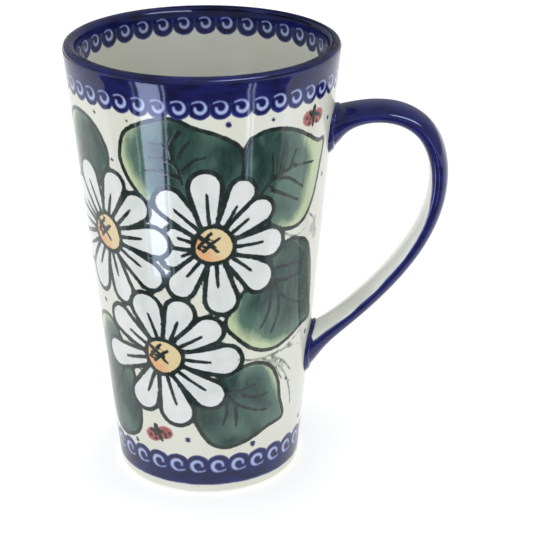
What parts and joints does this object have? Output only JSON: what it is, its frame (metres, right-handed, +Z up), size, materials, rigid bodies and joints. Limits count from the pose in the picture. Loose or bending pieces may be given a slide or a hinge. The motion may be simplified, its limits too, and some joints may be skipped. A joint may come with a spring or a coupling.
{
  "type": "stoneware mug",
  "caption": "Tall conical stoneware mug with a foot ring and a bowed strap handle joined to it with slip, painted with daisies and scroll bands.",
  "frame": {"origin": "under the middle of the whole mug, on the plane that the foot ring stands on; the cup's axis is at x = -17.5 mm", "axes": "+Z up along the cup's axis, +X towards the handle"},
  "size_m": [0.1226, 0.0876, 0.147],
  "materials": {
    "ivory_glaze": "glossy clear glaze over an ivory body with underglaze painting",
    "cobalt_glaze": "glossy clear glaze over cobalt underglaze, the inner face of the strap left ivory",
    "cobalt_slip": "glossy clear glaze over cobalt underglaze"
  },
  "bodies": {
    "root": {"mug_body": "ivory_glaze", "strap_handle": "cobalt_glaze", "upper_slip_joint": "cobalt_slip", "lower_slip_joint": "cobalt_slip"}
  },
  "joints": []
}
